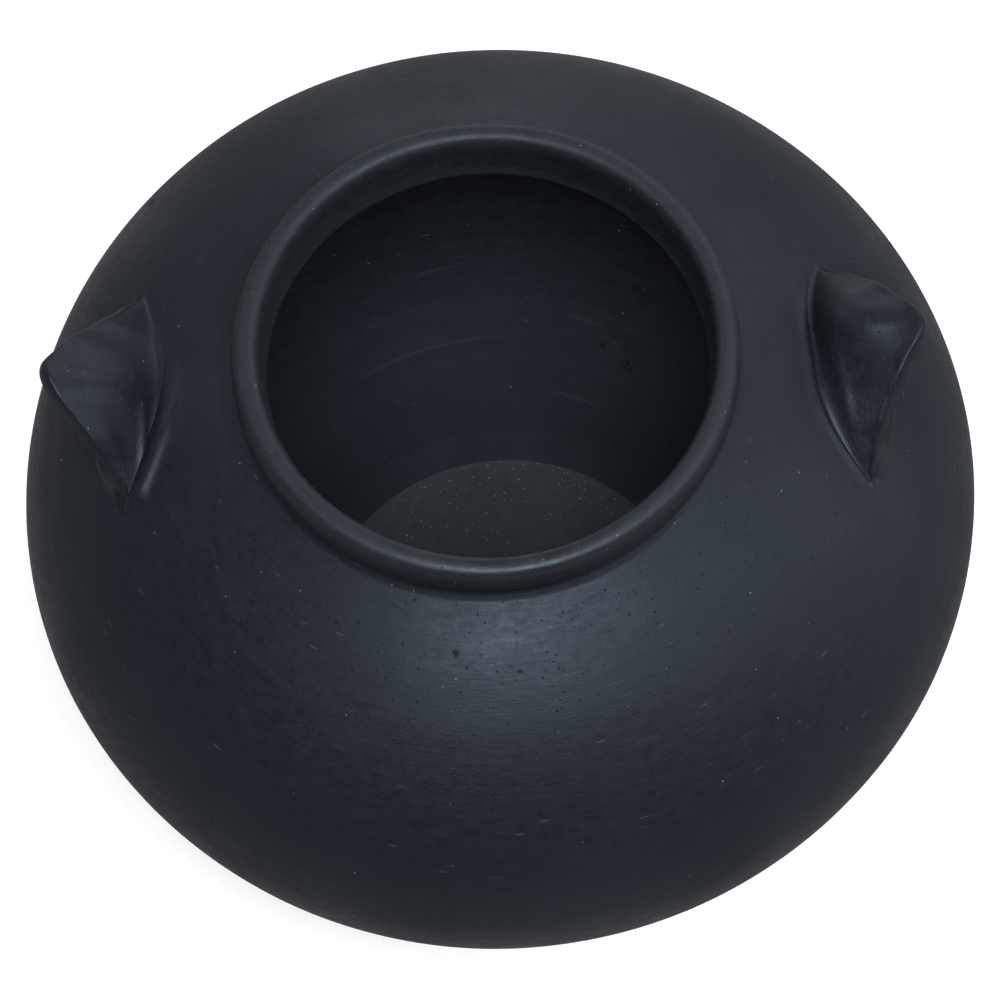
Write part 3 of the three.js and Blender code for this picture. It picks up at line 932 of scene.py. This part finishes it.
def clay(name, finish):
    """Smoke-fired black clay: a tint mottled in patches, streaks where it was burnished, pits,
    scratches and pale grit."""
    material = bpy.data.materials.new(name)
    material.use_nodes = True
    tree = material.node_tree
    shader = tree.nodes["Principled BSDF"]
    shader.inputs["Specular IOR Level"].default_value = finish.specular
    shader.inputs["Specular Tint"].default_value = SKY_TINT

    pattern = ClayPattern(tree)
    patches = pattern.noise(PATCH_SIZE, 2.0)
    mottle = pattern.noise(MOTTLE_SIZE, 2.0)
    streaks = pattern.streaks(STREAK_LENGTH, STREAK_WIDTH, 1.0)
    grain = pattern.noise(GRAIN_SIZE)
    dark = pattern.dashes(*PIT_CELL, 0.32, PIT_SHARE * finish.pits)
    scratch = pattern.dashes(*SCRATCH_CELL, 0.30, SCRATCH_SHARE * finish.pits)
    speck = pattern.specks(finish.speck_gap, finish.speck_size, SPECK_SHARE)
    if finish.marks:
        near = total(tree, *[spot(tree, pattern.place, *mark) for mark in finish.marks])
        blotch = product(tree, near, mapped(tree, mottle, 0.42, 0.5, 0, 1))
        dark = maths(tree, "MAXIMUM", dark, blotch)
    # Painted shade: the inside's down-facing surfaces, high up under the shoulder, are darkened in
    # tone and made rougher
    facing = split(tree, add_node(tree, "ShaderNodeNewGeometry").outputs["Normal"])[2]
    under = mapped(tree, facing, 0.25, -0.15, 0, 1)
    painted_shade = product(tree, under, mapped(tree, pattern.z, PAINTED_SHADE_LOW, PAINTED_SHADE_HIGH, 0, PAINTED_SHADE_SHARE))
    low = mapped(tree, pattern.z, SETTLED_HIGH, SETTLED_LOW, 0, 1)
    settled = product(tree, mapped(tree, facing, 0.2, 0.5, 0, 1), low)

    tone = total(
        tree,
        swung(tree, patches, 0.14, 1),
        swung(tree, mottle, 0.09),
        swung(tree, streaks, 0.08),
    )
    # darkens the tone by the painted shade
    tone = product(tree, tone, maths(tree, "SUBTRACT", 1.0, painted_shade))
    colour = scaled(tree, finish.tint, tone)
    colour = blended(tree, weighed(tree, dark, 0.7), colour, PIT_BLACK)
    colour = blended(tree, weighed(tree, scratch, 0.16), colour, PALE_GRIT)
    if finish.scrapes:
        scraped = total(tree, *[scrape(tree, pattern, *each) for each in finish.scrapes])
        colour = blended(tree, weighed(tree, scraped, 0.035), colour, PALE_GRIT)
    colour = blended(tree, speck, colour, PALE_GRIT)

    rough = total(
        tree,
        weighed(tree, settled, 0.25),
        swung(tree, patches, -0.05, finish.roughness),
        swung(tree, mottle, 0.045),
        swung(tree, streaks, 0.035),
        weighed(tree, painted_shade, 0.4),
        weighed(tree, dark, 0.3),
    )
    for point, radius in finish.burnished:
        shine = spot(tree, pattern.place, point, radius)
        rough = maths(tree, "MULTIPLY_ADD", shine, BURNISHED_CHANGE, rough)
    if finish.handled:
        factor, change = finish.handled
        touched = add_node(tree, "ShaderNodeAttribute", {"attribute_name": HANDLED}).outputs["Fac"]
        colour = scaled(tree, colour, mapped(tree, touched, 0, 1, 1, factor))
        rough = maths(tree, "MULTIPLY_ADD", touched, change, rough)

    height = total(
        tree,
        weighed(tree, grain, 0.035),
        weighed(tree, mottle, 0.07),
        weighed(tree, streaks, 0.035),
        weighed(tree, dark, -0.15),
    )
    bump = add_node(tree, "ShaderNodeBump", Height=height, Distance=1 * MM, Strength=1.0)
    tree.links.new(colour, shader.inputs["Base Color"])
    tree.links.new(rough, shader.inputs["Roughness"])
    tree.links.new(bump.outputs[0], shader.inputs["Normal"])
    return material


def on_wall(angle, radius):
    """A point of the shoulder by its angle round the pot, in degrees, and its radius in mm."""
    radius, height = on_shoulder(radius * MM, 0)
    turn = math.radians(angle)
    return Vector((radius * math.cos(turn), radius * math.sin(turn), height))


def inside(angle, radius, height):
    """A point by its angle in degrees, and its radius and height in mm."""
    turn = math.radians(angle)
    return Vector((radius * math.cos(turn), radius * math.sin(turn), height)) * MM


BODY_MARKS = (
    (on_wall(-100.3, 96.4), 1.5 * MM),
    (on_wall(-123.8, 98.2), 1.2 * MM),
    (on_wall(-88.3, 101.4), 0.9 * MM),
    (on_wall(139.5, 146), 2.5 * MM),
    (inside(61.5, 103.8, 40.3), 3.2 * MM),
    (inside(60.9, 100.1, 36.6), 3.0 * MM),
    (inside(67.1, 102.9, 39.3), 1.6 * MM),
)
BODY_SCRAPES = (
    (37.6 * MM, -57 * MM, 6 * MM, 0.02),
    (45 * MM, 26 * MM, 42 * MM, -0.06),
    (59 * MM, -28 * MM, -10 * MM, 0.03),
    (24 * MM, 20 * MM, 40 * MM, -0.05),
)
LIP_FRONT = Vector((0, -LIP_RADIUS, LIP_HEIGHT + LIP_HALF_HEIGHT))
BLUE_BLACK = {
    "tint": (0.0088, 0.0102, 0.0144),
    "roughness": 0.50,
    "specular": 0.24,
    "speck_size": 0.30 * MM,
    "speck_gap": 6 * MM,
}
BODY_FINISH = Finish(**BLUE_BLACK, marks=BODY_MARKS, scrapes=BODY_SCRAPES)
LUG_FINISH = Finish(**BLUE_BLACK, handled=(0.95, -0.07))
FLOOR_FINISH = Finish(
    tint=(0.034, 0.038, 0.044),
    roughness=0.75,
    specular=0.24,
    speck_size=0.36 * MM,
    speck_gap=1.8 * MM,
    pits=0.4,
)
LIP_FINISH = Finish(
    tint=(0.0096, 0.0108, 0.0134),
    roughness=0.57,
    specular=0.40,
    speck_size=0.32 * MM,
    speck_gap=4 * MM,
    burnished=((LIP_FRONT, 50 * MM),),
)


# ---------------------------------------------------------------- camera, lights and floor

CAMERA_REACH = 12 * BELLY_RADIUS
CAMERA_RISE = math.radians(65.6)
CAMERA_ROLL = math.radians(-3.28)
CAMERA_LENS = 201.85  # mm, on a sensor of
CAMERA_SENSOR = 36
LOOK_HEIGHT = 0.62 * BELLY_RADIUS
LOOK_AT = Vector((0.05 * MM, 8.8 * MM, LOOK_HEIGHT))

# Soft square lights: azimuth from the camera's side, elevation, distance, size and power
LIGHTS = {
    "key": (12, 67, 2.5, 1.0, 54),
    "key_left": (-16, 62, 2.5, 1.0, 19),
    "right": (75, 40, 2.5, 1.4, 21),
    "right_back": (140, 35, 2.5, 1.4, 18.5),
    "left_back": (-132, 36, 2.5, 1.4, 10.5),
    "back_low": (180, 14, 3.0, 1.6, 15),
    "right_low": (90, 14, 3.0, 1.4, 12),
    "left_low": (-90, 14, 3.0, 1.4, 1.8),
}
LOW_STUDIO = 0.42  # strength of the studio's own light below the horizon, and above it
HIGH_STUDIO = 0.02
HORIZON_BLEND = 0.02
STUDIO_COLOUR = (0.97, 0.98, 1.0, 1)
FLOOR_HALF = 6
FLOOR_GREY = (0.6, 0.6, 0.6, 1)
FLOOR_GLOW = 0.55


def add_camera():
    back, up = CAMERA_REACH * math.cos(CAMERA_RISE), CAMERA_REACH * math.sin(CAMERA_RISE)
    eye = Vector((-NECK_SHIFT, -back, up + LOOK_HEIGHT))
    data = bpy.data.cameras.new("camera")
    data.lens = CAMERA_LENS
    data.sensor_width = CAMERA_SENSOR
    data.clip_start = 0.01
    data.clip_end = 100
    camera = bpy.data.objects.new("camera", data)
    roll = Matrix.Rotation(CAMERA_ROLL, 3, "Z").to_quaternion()
    turn = (LOOK_AT - eye).to_track_quat("-Z", "Y") @ roll
    camera.matrix_world = Matrix.LocRotScale(eye, turn, None)
    bpy.context.scene.collection.objects.link(camera)
    bpy.context.scene.camera = camera


def add_light(name, azimuth, elevation, distance, size, power):
    """A square soft light that faces the pot."""
    a, e = math.radians(azimuth), math.radians(elevation)
    aim = Vector((0, 0, BELLY_HEIGHT))
    away = Vector((math.sin(a) * math.cos(e), -math.cos(a) * math.cos(e), math.sin(e)))
    data = bpy.data.lights.new(name, "AREA")
    data.shape = "SQUARE"
    data.size = size
    data.energy = power
    light = bpy.data.objects.new(name, data)
    turn = away.to_track_quat("Z", "Y")
    light.matrix_world = Matrix.LocRotScale(aim + away * distance, turn, None)
    bpy.context.scene.collection.objects.link(light)


def add_floor():
    corners = [(-1, -1, 0), (1, -1, 0), (1, 1, 0), (-1, 1, 0)]
    vertices = [tuple(FLOOR_HALF * value for value in corner) for corner in corners]
    floor = mesh_object("floor", vertices, [(0, 1, 2, 3)])
    floor.visible_glossy = False  # the black clay meets the dimmer studio instead
    floor.visible_diffuse = False
    material = bpy.data.materials.new("floor")
    material.use_nodes = True
    shader = material.node_tree.nodes["Principled BSDF"]
    shader.inputs["Base Color"].default_value = FLOOR_GREY
    shader.inputs["Emission Color"].default_value = (1, 1, 1, 1)
    shader.inputs["Emission Strength"].default_value = FLOOR_GLOW
    shader.inputs["Roughness"].default_value = 0.95
    shader.inputs["Specular IOR Level"].default_value = 0.1
    floor.data.materials.append(material)


def add_world():
    """A studio that is dim overhead and pale low down, where its floor and walls meet."""
    world = bpy.data.worlds.new("studio")
    world.use_nodes = True
    tree = world.node_tree
    up = split(tree, add_node(tree, "ShaderNodeTexCoord").outputs["Generated"])[2]
    strength = mapped(tree, up, -HORIZON_BLEND, HORIZON_BLEND, LOW_STUDIO, HIGH_STUDIO)
    tree.links.new(strength, tree.nodes["Background"].inputs["Strength"])
    tree.nodes["Background"].inputs["Color"].default_value = STUDIO_COLOUR
    bpy.context.scene.world = world


# ---------------------------------------------------------------- the scene


def show(piece, node, material):
    """Puts a finished piece in the place of its CAD node."""
    piece.data.materials.append(material)
    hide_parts(node)
    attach(piece, "root")


add_camera()
add_floor()
add_world()
for light_name, facts in LIGHTS.items():
    add_light(light_name, *facts)
bpy.context.scene.view_settings.view_transform = "Standard"

BODY = clay("body_clay", BODY_FINISH)
FLOOR_CLAY = clay("floor_clay", FLOOR_FINISH)
LIP_CLAY = clay("lip_clay", LIP_FINISH)
LUG_CLAY = clay("lug_clay", LUG_FINISH)

show(wall_piece("pot_base", "foot", "floor"), "base_pad", FLOOR_CLAY)
show(wall_piece("pot_lower_wall", "lower_out", "lower_in"), "lower_wall", BODY)
for part in ("low", "middle", "high"):
    belly = wall_piece(f"pot_belly_{part}", f"belly_{part}_out", f"belly_{part}_in")
    show(belly, f"belly_coil_{part}", BODY)
show(wall_piece("pot_shoulder", "shoulder_out", "shoulder_in"), "shoulder_coil", BODY)
show(wall_piece("pot_collar", "collar_out", "collar_in"), "neck_collar", BODY)
show(wall_piece("pot_lip", "lip"), "lip_coil", LIP_CLAY)
for lug in LUGS:
    wing, coil = f"pot_lug_{lug.side}", f"pot_luting_coil_{lug.side}"
    wing = lofted(wing, lug, lug_section, LUG_TAIL, LUG_SECTIONS, LUG_POINTS, marks=True)
    show(wing, f"lug_{lug.side}", LUG_CLAY)
    coil = lofted(coil, lug, coil_section, COIL_TAIL, COIL_SECTIONS, COIL_POINTS)
    show(coil, f"luting_coil_{lug.side}", LUG_CLAY)
